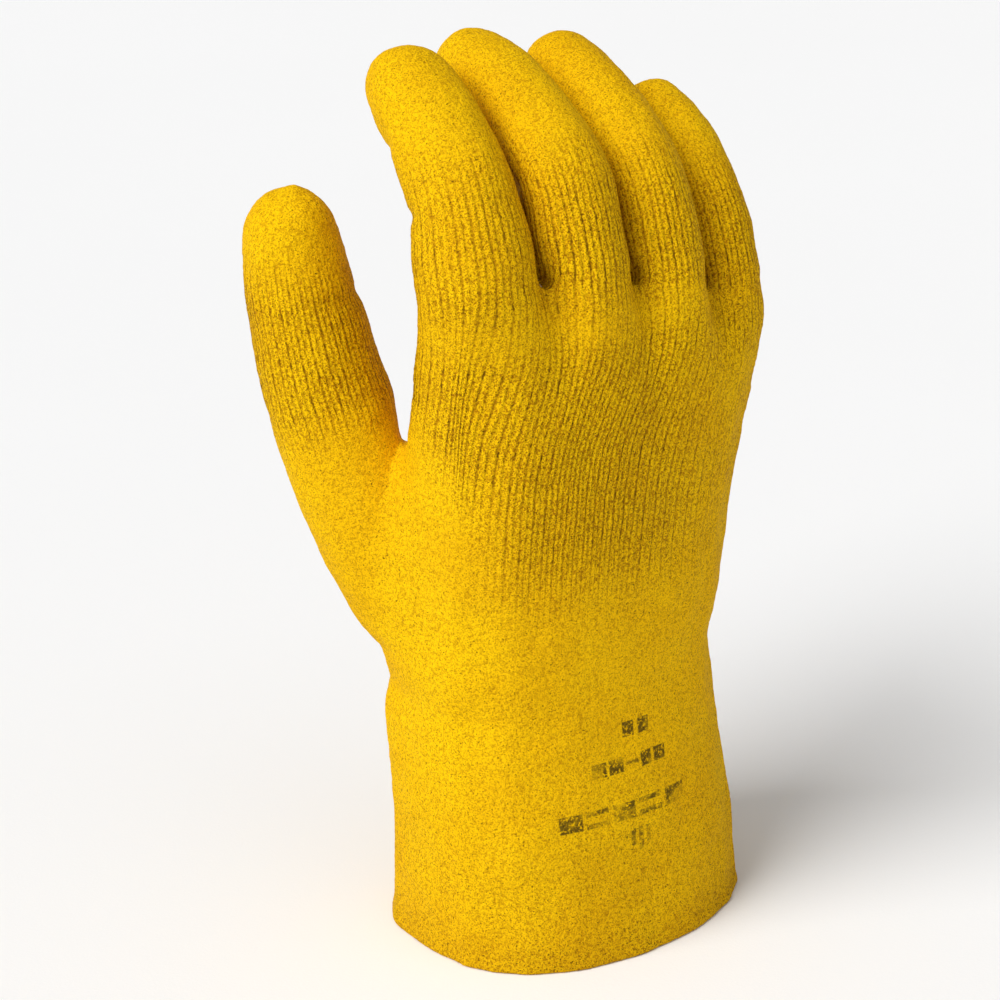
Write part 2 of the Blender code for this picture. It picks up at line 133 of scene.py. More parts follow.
# where the thumb's cage has rings, counted along THUMB_RINGS
THUMB_PLACES = (0, 1, 2, 2.5, 3, 3.5, 4, 4.4, 4.8, 5.2, 5.6, 6)
THUMB_TIP_RADIUS = 0.0136
# the knit's height in mm where the thumb starts, and how much each ring of its dome adds
THUMB_START_V, THUMB_DOME_V = 120.0, 5.0
# a tip's dome: its rings' latitudes, how much the smooth surface draws them in, and its cap's extra radius and lift
FINGER_DOME = ((28.0, 50.0), 0.955, 1.04)
THUMB_DOME = ((26.0, 50.0), 0.975, 1.03)
CAP_LIFT = 1.03

# ---- relief, in metres
RIB_HEIGHT = 0.00024
# lumps all over: how high, how long, and their random seed
LUMPS = ((0.00032, 0.030, 3), (0.00020, 0.014, 4), (0.00007, 0.005, 5), (0.00006, 0.0018, 6))
# soft folds at the wrist: which side, how proud, their height, how it changes with x and y, and their width
WRIST_FOLDS = (
    ("left", -0.0009, 0.0755, 0.0, 0.10, 0.0062),
    ("left", 0.0005, 0.0865, 0.0, 0.10, 0.0070),
    ("left", -0.0004, 0.0975, 0.0, 0.16, 0.0055),
    ("right", -0.0010, 0.0780, 0.0, -0.10, 0.0065),
    ("right", 0.0005, 0.0900, 0.0, -0.10, 0.0060),
    ("back", -0.0005, 0.080, 0.06, 0.0, 0.0100),
    ("palm", -0.0008, 0.083, 0.15, 0.0, 0.0035),
)
TENDON_HEIGHT, TENDON_WIDTH = 0.0006, 0.0075
# the middle and tip creases' depths on the palm side, their width, and how soon they reach full depth
CREASE_DEPTHS, CREASE_WIDTH, CREASE_RISE = (0.0009, 0.0007), 0.0022, 0.009
THUMB_CREASE_DEPTH, THUMB_CREASE_WIDTH = 0.0007, 0.0026
# the seam's nub at the thumb's tip
NUB_PLACE = THUMB_OUT * 0.0762 + np.array((0.0, 0.0, 0.2198))
NUB_HEIGHT, NUB_WIDTH = 0.0008, 0.0026
# the hollows between the fingers' roots: how deep, how wide and how far up, and how far grit and painted shade lie
# above them
PIT_DEPTHS, PIT_WIDTH, PIT_RISE = (0.0019, 0.0015, 0.0013), 0.0050, 0.0015
PIT_GRIT_AND_SHADE_LENGTHS, PIT_GRIT_AND_SHADE_WIDTH = (0.020, 0.016, 0.014), 0.0060
# neighbouring fingers: how near counts as touching, and how much they press each other flat
TOUCH_REACH, TOUCH_FLAT = 0.006, 0.0005
# the thumb's muscle, where the ribs are worn smooth
MUSCLE_PLACE = np.array((-0.044, 0.012, 0.128))
# the knit's lean above the thumb's web: ribs' columns moved, the height in mm where it ends, and how softly
LEAN_COLUMNS, LEAN_TOP, LEAN_SOFTNESS = 2.1, 168.0, 8.0

# ---- layers and cuts
# the hem's height, and how much darker its folded-in rings are
HEM_HEIGHT, HEM_DARKENING = 0.00035, 0.6
# how far inward from the edge, and the height, of each ring that folds the hem over
HEM_LIP = (
    (0.00012, 0.00012), (0.00045, 0.0), (0.00105, 0.0), (0.00145, 0.00015), (0.00165, 0.0006),
    (0.00180, 0.002), (0.00215, 0.005),
)
LINING_DEPTH, LINING_SWELL = 0.0028, 0.00030
LINER_HEM = 0.0013
LINER_LIP = (
    (-0.00015, 0.0010), (-0.00045, 0.0009), (-0.00075, 0.0010), (-0.00090, 0.0013), (-0.00080, 0.004),
)
# how far apart the folded rings' rib coordinates are, at least
LIP_STEP = 0.0006
# where the cuff piece ends
CUFF_TOP = 0.0975

# ---- colours and ink
BRIGHT_CRUMB = (0.960, 0.585, 0.0030, 1)
BRIGHT_CRUMB_DEEP = (0.900, 0.515, 0.0026, 1)
SHADED_CRUMB = (0.345, 0.130, 0.0012, 1)
# dark specks, and painted shade along the ribs' valleys
FLECK_AND_SHADE = (0.085, 0.036, 0.0015, 1)
# the colour of grime and painted shade
GRIME_AND_SHADE = (0.300, 0.140, 0.0030, 1)
# the worn ink mark on the cuff's back: middle across and up, half width and half height, in millimetres
STAMP_MIDDLE = np.array((-0.007, 0.0, 0.050))
STAMP_BARS = (
    (4.5, 17.5, 2.0, 2.3), (10.0, 17.5, 2.0, 2.3),
    (-6.5, 7.5, 2.6, 2.2), (-0.6, 7.5, 2.6, 2.2), (5.0, 7.5, 2.2, 0.6), (10.0, 7.5, 2.0, 2.2), (15.2, 7.5, 2.2, 2.2),
    (-17.0, -6.0, 3.6, 2.6), (-8.6, -4.2, 3.8, 0.8), (-8.6, -7.8, 3.8, 0.8), (0.4, -6.0, 3.8, 2.6),
    (9.8, -4.2, 4.2, 0.8), (9.8, -7.8, 4.2, 0.8), (19.4, -6.0, 3.8, 2.6),
    (3.0, -14.5, 0.8, 2.6), (5.6, -15.5, 0.8, 3.6), (8.2, -14.5, 0.8, 2.6),
)
INK = (0.040, 0.026, 0.006, 1)

# ---- light, floor and camera
# the soft light from overhead, and the bright band round the horizon that stands for the studio's walls
WORLD_LIGHT = 0.24
HORIZON_LIGHT = 1.0
HORIZON_BAND = (0.08, 0.24)
# name, azimuth, elevation, how far its light spreads in degrees, strength
LAMPS = (
    ("key_lamp", -88.0, 44.0, 38.0, 2.62),
    ("top_lamp", -30.0, 78.0, 60.0, 0.50),
    ("fill_lamp", 5.0, 22.0, 70.0, 0.06),
)

CAMERA_AZIMUTH, CAMERA_ELEVATION, CAMERA_DISTANCE = -37.5, 20.9, 0.9
# the lens, as pixels of a picture 1000 wide, and how far the glove's middle lies right of and above the picture's
FOCAL_PIXELS, PICTURE_WIDTH, AIM_RIGHT, AIM_UP = 3150.0, 1000.0, 68.8, 24.8
SENSOR_WIDTH = 36.0
AIM_HEIGHT = 0.135
FLOOR_HALF_WIDTH, FLOOR_CELLS, FLOOR_LEVEL = 4.0, 8, -0.0002
LAMP_DISTANCE = 3.0

# the wrist's hinge, measured from the hem's middle, and so the hem's middle in the frame
WRIST_OFFSET = np.array((-0.0020, 0.007, 0.075))
HEM_CENTRE = np.array(JOINTS["wrist_bend"]["pos_m"]) - WRIST_OFFSET


def smooth(value):
    value = np.clip(value, 0.0, 1.0)
    return value * value * (3.0 - 2.0 * value)


def rise(value, start, end):
    """0 before start and 1 after end, smoothly between. It falls where start is the larger."""
    return smooth((value - start) / (end - start))


def blob(points, place, width):
    """1 at a place, fading with distance from it."""
    return gaussian(np.linalg.norm(points - place, axis=1), 0.0, width)


def gaussian(value, middle, width):
    return np.exp(-(((value - middle) / width) ** 2))


def facing(azimuth, elevation):
    """The direction from the object to what stands at that azimuth and elevation, in degrees."""
    a, e = math.radians(azimuth), math.radians(elevation)
    return Vector((math.sin(a) * math.cos(e), -math.cos(a) * math.cos(e), math.sin(e)))


def linked(name, data):
    """A new object with that data, in the scene."""
    made = bpy.data.objects.new(name, data)
    bpy.context.scene.collection.objects.link(made)
    return made


def hinge(name):
    """A joint's place at rest."""
    return np.array(JOINTS[name]["pos_m"])


# ---- cage
def trunk_section(height):
    """TRUNK's row for any height, smoothly between its own."""
    heights = TRUNK[:, 0]
    slopes = np.gradient(TRUNK[:, 1:], heights, axis=0)
    i = int(np.clip(np.searchsorted(heights, height) - 1, 0, len(heights) - 2))
    span = heights[i + 1] - heights[i]
    t = (height - heights[i]) / span
    a, b = TRUNK[i, 1:], TRUNK[i + 1, 1:]
    return (
        (2 * t**3 - 3 * t**2 + 1) * a
        + (t**3 - 2 * t**2 + t) * span * slopes[i]
        + (3 * t**2 - 2 * t**3) * b
        + (t**3 - t**2) * span * slopes[i + 1]
    )


def trunk_point(share, side, height):
    """A point on the trunk: how far across, from -1 to 1, and on which side, -1 the back and 1 the palm."""
    x, y, half_width, half_depth = trunk_section(height)
    depth = (1.0 - min(abs(share), 1.0) ** ROUNDNESS) ** (1.0 / ROUNDNESS)
    return np.array((x + share * half_width, y + side * depth * half_depth, height))


def finger_frame(angle):
    """Along, right and towards the palm, for a length of finger bent that far from upright."""
    turn = math.radians(angle)
    up = np.array((math.sin(LEAN), 0.0, math.cos(LEAN)))
    palm = np.array((0.0, 1.0, 0.0))
    right = np.array((math.cos(LEAN), 0.0, -math.sin(LEAN)))
    return up * math.cos(turn) + palm * math.sin(turn), right, palm * math.cos(turn) - up * math.sin(turn)


def finger_creases(finger):
    """The three creases' hinge points, measured from the hem's middle, and the tip's centre."""
    points = [hinge(f"{finger}_{name}") - HEM_CENTRE for name in FINGER_JOINTS]
    along, _, _ = finger_frame(sum(FINGER_BENDS[finger]))
    points.append(points[-1] + along * TIP_LENGTH[finger])
    return points


def finger_path(finger):
    """Lengths, centres, directions and radii along a finger, from its root row to its tip's centre."""
    creases = finger_creases(finger)
    lengths = [np.linalg.norm(b - a) for a, b in zip(creases, creases[1:])]
    places = np.cumsum([ROOT_RISE, lengths[0], lengths[1]])
    total = places[-1] + lengths[2]
    knuckle, middle, tip = FINGER_BENDS[finger]
    s = np.linspace(0.0, total, 121)
    angle = np.full_like(s, knuckle / 2)
    for place, bend in zip(places, (knuckle / 2, middle, tip)):
        angle += bend * rise(s, place - TURN_REACH, place + TURN_REACH)
    frames = [finger_frame(a) for a in angle]
    along = np.array([f[0] for f in frames])
    stub, _, _ = frames[0]
    centre = np.zeros((len(s), 3))
    centre[0] = creases[0] - stub * ROOT_RISE
    step = s[1] - s[0]
    for i in range(1, len(s)):
        centre[i] = centre[i - 1] + (along[i - 1] + along[i]) / 2 * step
    radii = np.interp(s, [0.0, *places, total], [FINGER_RADII[finger][0], *FINGER_RADII[finger]])
    # the finger's side-to-side bow, and the drop of its end
    bow = np.interp(s / total, BOW_PLACES, FINGER_BOWS[finger])
    centre += np.outer(bow, frames[0][1])
    centre[:, 2] -= FINGER_DROPS[finger] * smooth(1.6 * s / total)
    # a little fuller between the creases, where a finger's flesh would be
    for place, pinch in zip(places, CREASE_PINCH):
        radii *= 1.0 - pinch * gaussian(s, place, PINCH_REACH)
    return s, centre, frames, radii


def ring_filter(points):
    """Moves a closed ring's cage points out, so that the smooth curve they make runs through the given ones."""
    count = len(points)
    weights = np.zeros((count, count))
    for i in range(count):
        weights[i, i] = 4 / 6
        weights[i, (i + 1) % count] += 1 / 6
        weights[i, i - 1] += 1 / 6
    return np.linalg.solve(weights, points)


class Cage:
    """A coarse mesh of quads with knit coordinates at each corner, u in ribs and v in millimetres."""

    def __init__(self):
        self.points, self.faces, self.uvs, self.labels = [], [], [], []

    def add(self, row):
        first = len(self.points)
        self.points += [np.array(p, float) for p in row]
        return list(range(first, first + len(row)))

    def band(self, lower, upper, u, lower_v, upper_v, label, skip=()):
        """Quads between two rings. u has one more entry than the rings, for the last one's far side."""
        count = len(lower)
        for i in range(count):
            if i in skip:
                continue
            j = (i + 1) % count
            self.faces.append((lower[i], lower[j], upper[j], upper[i]))
            self.uvs.append((
                (u[i], lower_v[i]), (u[i + 1], lower_v[j]), (u[i + 1], upper_v[j]), (u[i], upper_v[i]),
            ))
            self.labels.append(label)

    def grow(self, ring, v, points, next_v, u, label):
        """Adds a ring of points and the quads up to it, and returns it with its v."""
        next_ring = self.add(points)
        next_v = np.zeros(len(points)) + next_v
        self.band(ring, next_ring, u, v, next_v, label)
        return next_ring, next_v

    def cap(self, ring, centre, along, radius, label, v):
        """A square of quads that closes a ring of 12 or 16 with a dome."""
        side = len(ring) // 4
        order = [(i, 0) for i in range(side)] + [(side, j) for j in range(side)]
        order += [(i, side) for i in range(side, 0, -1)] + [(0, j) for j in range(side, 0, -1)]
        grid = dict(zip(order, ring))
        corner = {place: self.points[number] for place, number in grid.items()}
        inner = []
        for i in range(1, side):
            for j in range(1, side):
                a, b = i / side, j / side
                flat = (
                    (1 - b) * corner[i, 0] + b * corner[i, side] + (1 - a) * corner[0, j] + a * corner[side, j]
                ) - (
                    (1 - a) * (1 - b) * corner[0, 0] + a * (1 - b) * corner[side, 0]
                    + (1 - a) * b * corner[0, side] + a * b * corner[side, side]
                )
                out = flat - centre
                out -= along * (out @ along)
                reach = np.linalg.norm(out)
                lift = math.sqrt(max(radius**2 - reach**2, 0.0))
                inner.append(((i, j), centre + out + along * lift * CAP_LIFT))
        numbers = self.add([point for _, point in inner])
        grid.update(zip([place for place, _ in inner], numbers))
        for i in range(side):
            for j in range(side):
                places = ((i, j), (i + 1, j), (i + 1, j + 1), (i, j + 1))
                self.faces.append(tuple(grid[p] for p in places))
                self.uvs.append(tuple((p[0], v + p[1]) for p in places))
                self.labels.append(label)


def build_cage():
    """The whole glove's coated surface as quads, open at the hem. Labels: 0 trunk, 1 to 4 fingers, 5 thumb."""
    cage = Cage()
    paths = {f: finger_path(f) for f in FINGERS}
    angles = np.radians(150.0 - np.arange(12) * 30.0)

    def finger_ring(finger, place, radius_factor=1.0, lift=0.0):
        s, centre, frames, radii = paths[finger]
        i = int(round(np.interp(place, s, np.arange(len(s)))))
        along, right, palm = frames[i]
        rim = np.outer(np.cos(angles), right) - np.outer(np.sin(angles), palm)
        return centre[i] + along * lift + radii[i] * radius_factor * rim

    # the row at the finger roots
    circles = [finger_ring(f, 0.0) for f in FINGERS]
    top = np.zeros((COLUMNS, 3))
    for i, circle in enumerate(circles):
        top[4 * i:4 * i + 5] = circle[:5]
        top[30 - 4 * i:35 - 4 * i] = circle[6:11]
    top[DORSAL], top[-1] = circles[-1][5], circles[0][11]
    webs = []
    for i in range(3):
        left, right = circles[i], circles[i + 1]
        top[4 * i + 4] = (left[4] + right[0]) / 2 - (0, 0, WEB_DROP[0])
        webs.append((left[5] + right[11]) / 2 - (0, 0, WEB_DROP[1]))
        top[30 - 4 * i] = (left[6] + right[10]) / 2 - (0, 0, WEB_DROP[2])

    x, _, half_width, _ = trunk_section(top[:, 2].mean())
    shares = np.clip((top[:, 0] - x) / half_width, -0.97, 0.97)
    shares[DORSAL], shares[-1] = 1.0, -1.0
    sides = [-1.0 if k <= DORSAL else 1.0 for k in range(COLUMNS)]

    heights = CUFF_ROWS + THUMB_ROWS
    rows, levels = [], []
    for height in heights:
        row = ring_filter(np.array([trunk_point(s, side, height) for s, side in zip(shares, sides)]))
        rows.append(cage.add(row))
        levels.append(np.full(COLUMNS, height))
    thumb_start = len(heights) - len(THUMB_ROWS)
    for share_up, roundness in KNUCKLE_ROWS:
        row, level = [], []
        for k in range(COLUMNS):
            height = THUMB_ROWS[-1] + share_up * (top[k, 2] - THUMB_ROWS[-1])
            plain = trunk_point(shares[k], sides[k], height)
            under = np.array((*top[k, :2], height))
            row.append(plain + roundness * (under - plain))
            level.append(height)
        rows.append(cage.add(ring_filter(np.array(row))))
        levels.append(np.array(level))
    rows.append(cage.add(top))
    levels.append(top[:, 2].copy())
    web_numbers = cage.add(webs)

    columns_u = np.arange(COLUMNS + 1) * RIBS_PER_COLUMN
    low, high = THUMB_BLOCK
    for r in range(len(rows) - 1):
        beside = thumb_start <= r < thumb_start + len(THUMB_ROWS) - 1
        skip = range(low, high) if beside else ()
        v = [level * 1000 for level in levels[r:r + 2]]
        cage.band(rows[r], rows[r + 1], columns_u, v[0], v[1], 0, skip)

    # fingers
    for i, finger in enumerate(FINGERS):
        right = web_numbers[i] if i < 3 else rows[-1][DORSAL]
        left = web_numbers[i - 1] if i else rows[-1][-1]
        ring = rows[-1][4 * i:4 * i + 5] + [right] + rows[-1][30 - 4 * i:35 - 4 * i] + [left]
        u = (4 * i + np.arange(13)) * RIBS_PER_COLUMN
        s, centre, frames, radii = paths[finger]
        v = np.array([cage.points[n][2] for n in ring]) * 1000
        start_v = v.mean()
        end = s[-1]
        for place in np.linspace(FIRST_RING, end - LAST_RING, int(round(end / RING_STEP))):
            points = ring_filter(finger_ring(finger, place))
            ring, v = cage.grow(ring, v, points, start_v + place * 1000, u, i + 1)
        along = frames[-1][0]
        radius = radii[-1]
        latitudes, drawn_in, spare = FINGER_DOME
        for latitude in latitudes:
            turn = math.radians(latitude)
            points = finger_ring(finger, end, math.cos(turn) / drawn_in, radius * math.sin(turn))
            ring, v = cage.grow(ring, v, points, start_v + (end + radius * turn) * 1000, u, i + 1)
        cage.cap(ring, centre[-1], along, radius * spare, i + 1, v[0])

    # thumb
    block = rows[thumb_start:thumb_start + len(THUMB_ROWS)]
    ring = block[0][low:high + 1] + [row[high] for row in block[1:]]
    ring += block[-1][low:high][::-1] + [row[low] for row in block[-2:0:-1]]
    steps = np.radians(225.0 + np.arange(16) * 22.5)
    fine = []
    count = len(THUMB_RINGS)
    for place in THUMB_PLACES:
        i = min(int(place), count - 2)
        t = place - i
        p = [THUMB_RINGS[min(max(i + d, 0), count - 1)] for d in (-1, 0, 1, 2)]
        fine.append(0.5 * (
            2 * p[1] + (p[2] - p[0]) * t + (2 * p[0] - 5 * p[1] + 4 * p[2] - p[3]) * t * t
            + (3 * p[1] - p[0] - 3 * p[2] + p[3]) * t**3
        ))
    u = np.arange(17) * RIBS_PER_COLUMN
    v = np.array([cage.points[n][2] for n in ring]) * 1000
    middle = None
    length = 0.0
    for web_out, web_z, outer_out, outer_z, half_depth, shift in fine:
        web = THUMB_OUT * web_out + (0, 0, web_z)
        outer = THUMB_OUT * outer_out + (0, 0, outer_z)
        new_middle = (web + outer) / 2 + THUMB_SIDE * shift
        length += 0.0 if middle is None else np.linalg.norm(new_middle - middle)
        middle = new_middle
        reach = (web - outer) / 2
        points = middle + np.outer(np.cos(steps), THUMB_SIDE * half_depth) + np.outer(np.sin(steps), reach)
        ring, v = cage.grow(ring, v, ring_filter(points), THUMB_START_V + length * 1000, u, 5)
    tip = THUMB_OUT * THUMB_TOP[0] + (0, 0, THUMB_TOP[1])
    reach /= np.linalg.norm(reach)
    along = np.cross(THUMB_SIDE, reach)
    along *= np.sign(along[2])
    radius = THUMB_TIP_RADIUS
    rim = np.outer(np.cos(steps), THUMB_SIDE) + np.outer(np.sin(steps), reach)
    latitudes, drawn_in, spare = THUMB_DOME
    for latitude in latitudes:
        turn = math.radians(latitude)
        points = tip + along * radius * math.sin(turn) + rim * radius * math.cos(turn) / drawn_in
        ring, v = cage.grow(ring, v, points, v + THUMB_DOME_V, u, 5)
    cage.cap(ring, tip, along, radius * spare, 5, v[0])
    return cage


def subdivided(cage, levels, name):
    """The cage as a finely subdivided surface: points, quads, uvs for each corner and a label for each quad."""
    mesh = bpy.data.meshes.new(name)
    mesh.from_pydata([tuple(p + HEM_CENTRE) for p in cage.points], [], cage.faces)
    uv_layer = mesh.uv_layers.new(name="knit")
    flat = np.array([corner for face in cage.uvs for corner in face], np.float32)
    uv_layer.data.foreach_set("uv", flat.ravel())
    mesh.polygons.foreach_set("material_index", np.array(cage.labels, np.int32))
    for _ in range(6):
        mesh.materials.append(None)
    guide = linked(name, mesh)
    divide = guide.modifiers.new("divide", "SUBSURF")
    divide.levels = divide.render_levels = levels
    divide.boundary_smooth = "ALL"
    divide.uv_smooth = "PRESERVE_BOUNDARIES"
    fine = guide.evaluated_get(bpy.context.evaluated_depsgraph_get()).to_mesh()
    points = np.zeros(len(fine.vertices) * 3, np.float32)
    fine.vertices.foreach_get("co", points)
    corners = np.zeros(len(fine.loops), np.int32)
    fine.loops.foreach_get("vertex_index", corners)
    uvs = np.zeros(len(fine.loops) * 2, np.float32)
    fine.uv_layers["knit"].data.foreach_get("uv", uvs)
    labels = np.zeros(len(fine.polygons), np.int32)
    fine.polygons.foreach_get("material_index", labels)
    guide.to_mesh_clear()
    bpy.data.objects.remove(guide)
    bpy.data.meshes.remove(mesh)
    return points.reshape(-1, 3).astype(float), corners.reshape(-1, 4), uvs.reshape(-1, 4, 2), labels


def point_normals(points, quads):
    a, b, c, d = (points[quads[:, i]] for i in range(4))
    face = np.cross(c - a, d - b)
    normals = np.zeros_like(points)
    for i in range(4):
        for axis in range(3):
            normals[:, axis] += np.bincount(quads[:, i], face[:, axis], len(points))
    return normals / np.maximum(np.linalg.norm(normals, axis=1, keepdims=True), 1e-12)


# ---- relief
def coarse_noise(points, wavelength, seed):
    """Smooth noise from about -1 to 1: a lattice of random values, spread smoothly to the points between."""
    low = points.min(0) - wavelength
    size = np.ceil((points.max(0) - low) / (wavelength / 2)).astype(int) + 3
    rng = np.random.default_rng(seed)
    lattice = rng.uniform(-1.0, 1.0, size)
    place = (points - low) / (wavelength / 2)
    cell = np.floor(place).astype(int)
    t = smooth(place - cell)
    total = np.zeros(len(points))
    for corner in np.ndindex(2, 2, 2):
        weight = np.where(corner, t, 1 - t).prod(axis=1)
        total += weight * lattice[tuple((cell + corner).T)]
    return total * 1.5


def rib_warp(u, v):
    """How far the knit has leant sideways, up to the fingers, above the thumb's web."""
    column = u / RIBS_PER_COLUMN
    column = np.where(column > COLUMNS / 2, column - COLUMNS, column)
    lean = LEAN_COLUMNS * RIBS_PER_COLUMN / (1 + np.exp((v - LEAN_TOP) / LEAN_SOFTNESS))
    return lean * gaussian(column, 7.0, 6.0)


class Skin:
    """The glove's outer surface: its points, their normals and what the materials need to know at each."""

    def __init__(self, levels, name):
        cage = build_cage()
        self.points, self.quads, self.uvs, self.labels = subdivided(cage, levels, name)
        on_trunk = self.labels == 0
        trunk_uvs = self.uvs[on_trunk]
        trunk_uvs[..., 0] += rib_warp(trunk_uvs[..., 0], trunk_uvs[..., 1])
        self.uvs[on_trunk] = trunk_uvs
        self.normals = point_normals(self.points, self.quads)
        self.u = np.zeros(len(self.points))
        self.label = np.zeros(len(self.points), int)
        # a point where labels meet takes one of theirs
        order = np.argsort(-self.labels, kind="stable")
        for corner in range(4):
            self.u[self.quads[order, corner]] = self.uvs[order, corner, 0]
            self.label[self.quads[order, corner]] = self.labels[order]
        self.local = self.points - HEM_CENTRE

    def rib_mask(self):
        """How strongly the ribs show through: fully behind the fingers, hardly at all at the tips and the cuff."""
        x, _, z = self.local.T
        little_side = rise(x, 0.004, 0.040) * rise(z, 0.185, 0.165)
        mask = rise(z, 0.098, 0.133) * (1 - 0.62 * little_side)
        mask *= 1 - 0.55 * gaussian(z, 0.189, 0.008) * (self.label == 0)
        for i, finger in enumerate(FINGERS):
            along, _, _ = finger_frame(FINGER_BENDS[finger][0])
            reach = (self.local - finger_creases(finger)[0]) @ along
            strength = 0.80 if finger == "index_finger" else 1.0
            mask = np.where(self.label == i + 1, strength * (1 - 0.93 * rise(reach, 0.014, 0.044)), mask)
        thumb = 0.9 * rise(z, 0.134, 0.164) * (1 - 0.88 * rise(z, 0.186, 0.208))
        mask = np.where(self.label == 5, thumb, mask)
        return mask * rise(np.linalg.norm(self.local - MUSCLE_PLACE, axis=1), 0.022, 0.042)

    def relief(self):
        """How far each point stands proud of the plain form, in metres."""
        x, y, z = self.local.T
        rib = np.abs(np.sin(math.pi * (self.u % 1.0))) ** 0.7
        height = RIB_HEIGHT * self.mask * (rib - 0.6)
        for amount, wavelength, seed in LUMPS:
            height += amount * coarse_noise(self.points, wavelength, seed)
        sides = {
            "left": rise(-x, 0.024, 0.042), "right": rise(x, 0.026, 0.044),
            "back": rise(-y, 0.001, 0.021), "palm": rise(y, -0.004, 0.016),
        }
        for side, amount, level, by_x, by_y, width in WRIST_FOLDS:
            height += amount * sides[side] * gaussian(z, level + by_x * x + by_y * y, width)
        # tendons on the back of the hand, which gather towards the wrist
        for finger in FINGERS:
            knuckle = finger_creases(finger)[0][0]
            beside = x - knuckle * (0.72 + 0.28 * rise(z, 0.12, 0.20))
            ridge = gaussian(beside, 0.0, TENDON_WIDTH) * rise(z, 0.13, 0.16) * sides["back"]
            height += TENDON_HEIGHT * ridge * rise(z, 0.205, 0.185)
        # creases across the fingers and the thumb on the palm side, where they bend
        for i, finger in enumerate(FINGERS):
            creases = finger_creases(finger)
            bends = np.cumsum(FINGER_BENDS[finger])
            for crease, bend, depth in zip(creases[1:3], bends[1:], CREASE_DEPTHS):
                along, _, inward = finger_frame(bend - 8)
                offset = self.local - crease
                fold = smooth((offset @ inward) / CREASE_RISE) * gaussian(offset @ along, 0.0, CREASE_WIDTH)
                height += np.where(self.label == i + 1, -depth * fold, 0.0)
        offset = self.local - (hinge("thumb_tip_bend") - HEM_CENTRE)
        fold = smooth(-offset @ THUMB_OUT / CREASE_RISE) * gaussian(offset[:, 2], 0.0, THUMB_CREASE_WIDTH)
        height += np.where(self.label == 5, -THUMB_CREASE_DEPTH * fold, 0.0)
        height += NUB_HEIGHT * blob(self.local, NUB_PLACE, NUB_WIDTH)
        # rounded hollows between the fingers' roots, and flats where the fingers touch
        for pit, depth in zip(self.pits(), PIT_DEPTHS):
            height += -depth * blob(self.local, pit + (0.0, 0.0, PIT_RISE), PIT_WIDTH)
        height += -TOUCH_FLAT * self.close**2
        # the hem's bead and its slight wave
        height += 0.00045 * gaussian(z, 0.0016, 0.0016)
        height += 0.0007 * rise(z, 0.03, 0.0) * np.sin(3 * np.arctan2(y, x) + 0.6)
        return height

    def dirt_and_shade(self):
        """How much darker each point is made, from 0 to 1: painted shade towards the hem, on the little finger's
        side and where the fingers face each other, grit and painted shade in the hollows at the fingers' roots, and
        a darker patch on the back of the hand.
        """
        x, y, z = self.local.T
        # painted shade: darker towards the hem
        grime_and_shade = 0.45 * rise(z, 0.014, 0.0) + 0.34 * rise(z, 0.070, 0.010)
        # painted shade: darker on the little finger's side
        grime_and_shade += 0.30 * rise(x, 0.020, 0.055) * (0.5 + 0.5 * rise(z, 0.19, 0.13))
        # grit and painted shade in the hollows between the fingers' roots, fading up between the fingers
        for pit, length in zip(self.pits(), PIT_GRIT_AND_SHADE_LENGTHS):
            offset = self.local - pit
            reach = np.clip(offset[:, 2], 0.0, length)
            offset[:, 2] -= reach
            grime_and_shade += (1.0 - 0.75 * reach / length) * blob(offset, 0.0, PIT_GRIT_AND_SHADE_WIDTH)
        # a darker patch on the back of the hand
        grime_and_shade += 0.30 * gaussian(x, 0.002, 0.028) * gaussian(z, 0.138, 0.030) * (y < 0.0)
        # painted shade where the fingers face each other
        grime_and_shade += 0.45 * self.close
        return np.clip(grime_and_shade, 0.0, 1.0)

    def between_fingers(self):
        """How close each point on a finger is to the next finger: 1 where they touch, 0 beyond TOUCH_REACH."""
        close = np.zeros(len(self.local))
        for i, finger in enumerate(FINGERS):
            _, centre, _, radii = finger_path(finger)
            for other in (i, i + 2):
                if not 1 <= other <= len(FINGERS):
                    continue
                on_other = np.flatnonzero(self.label == other)
                gap = np.full(len(on_other), 1.0)
                for place, radius in zip(centre[::3], radii[::3]):
                    gap = np.minimum(gap, np.linalg.norm(self.local[on_other] - place, axis=1) - radius)
                close[on_other] = np.maximum(close[on_other], smooth(1.0 - gap / TOUCH_REACH))
        return close

    def pits(self):
        """The middles of the hollows between the fingers' roots."""
        circles = [finger_path(finger)[1][0] for finger in FINGERS]
        return [(a + b) / 2 + (0.0, -0.0045, -WEB_DROP[1]) for a, b in zip(circles, circles[1:])]

    def shape(self):
        """The coating: ribs, lumps, folds and creases raised on the plain form, and the hem folded in."""
        self.mask = self.rib_mask()
        self.close = self.between_fingers()
        self.grime_and_shade = self.dirt_and_shade()
        self.points = self.points + self.normals * self.relief()[:, None]
        self.finish_hem(HEM_HEIGHT, HEM_LIP, 1.0, HEM_DARKENING)
        return self

    def line(self):
        """The lining: the skin's form moved inside the coating, facing the hand."""
        self.mask = np.ones(len(self.points))
        self.grime_and_shade = np.zeros(len(self.points))
        swell = LINING_SWELL * coarse_noise(self.points, LUMPS[0][1], LUMPS[0][2])
        self.points = self.points - self.normals * (LINING_DEPTH - swell)[:, None]
        self.even_ribs()
        self.quads = self.quads[:, ::-1]
        self.uvs = self.uvs[:, ::-1]
        self.finish_hem(LINER_HEM, LINER_LIP, -1.0, 0.0)
        return self

    def open_edge(self):
        return np.flatnonzero(self.local[:, 2] < 1e-5)

